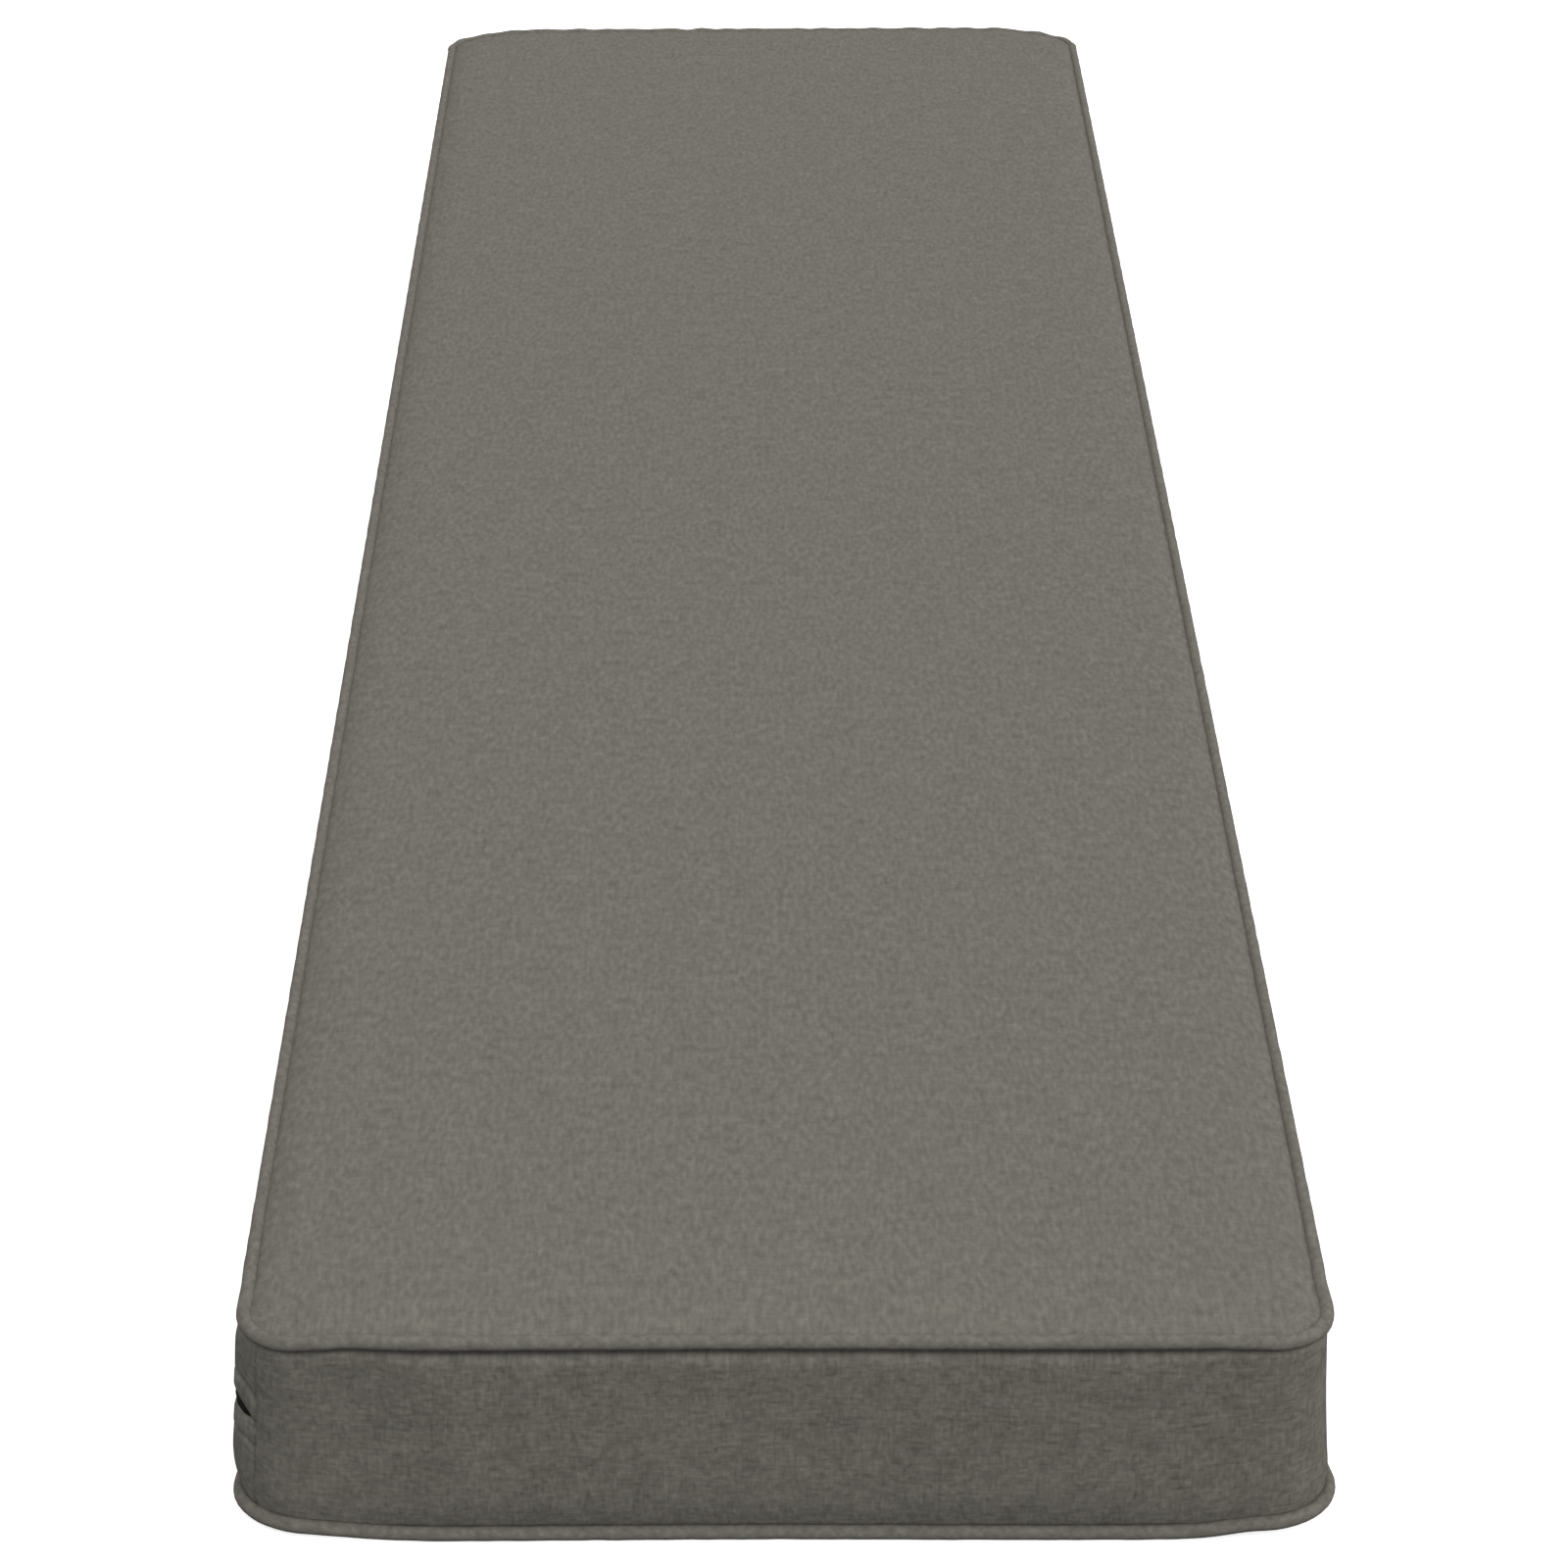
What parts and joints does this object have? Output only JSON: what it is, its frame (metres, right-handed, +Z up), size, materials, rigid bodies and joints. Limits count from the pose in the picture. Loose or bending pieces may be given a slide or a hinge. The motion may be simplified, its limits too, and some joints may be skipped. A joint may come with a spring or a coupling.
{
  "type": "bench cushion",
  "caption": "Long boxed bench cushion with welted edges, a crowned top, rounded corners and a zip placket along its left side.",
  "frame": {"origin": "middle of the bounding box's bottom face, on the plane that the cushion rests on", "axes": "+Y along the length, away from the near end; +X across to the right, away from the zip; +Z up"},
  "size_m": [0.4616, 1.524, 0.1082],
  "materials": {
    "panel_cloth": "matte taupe-grey heathered plain weave",
    "band_cloth": "matte taupe-grey heathered plain weave, in its own shade",
    "welt_cloth": "matte taupe-grey heathered plain weave, cut on the bias round a cord",
    "zip_tape": "matte dark woven tape"
  },
  "bodies": {
    "root": {"boxed_body": "band_cloth", "top_panel": "panel_cloth", "bottom_panel": "panel_cloth", "top_welt": "welt_cloth", "bottom_welt": "welt_cloth", "zip_strip_upper": "band_cloth", "zip_strip_lower": "band_cloth", "zip_tape": "zip_tape"}
  },
  "joints": []
}
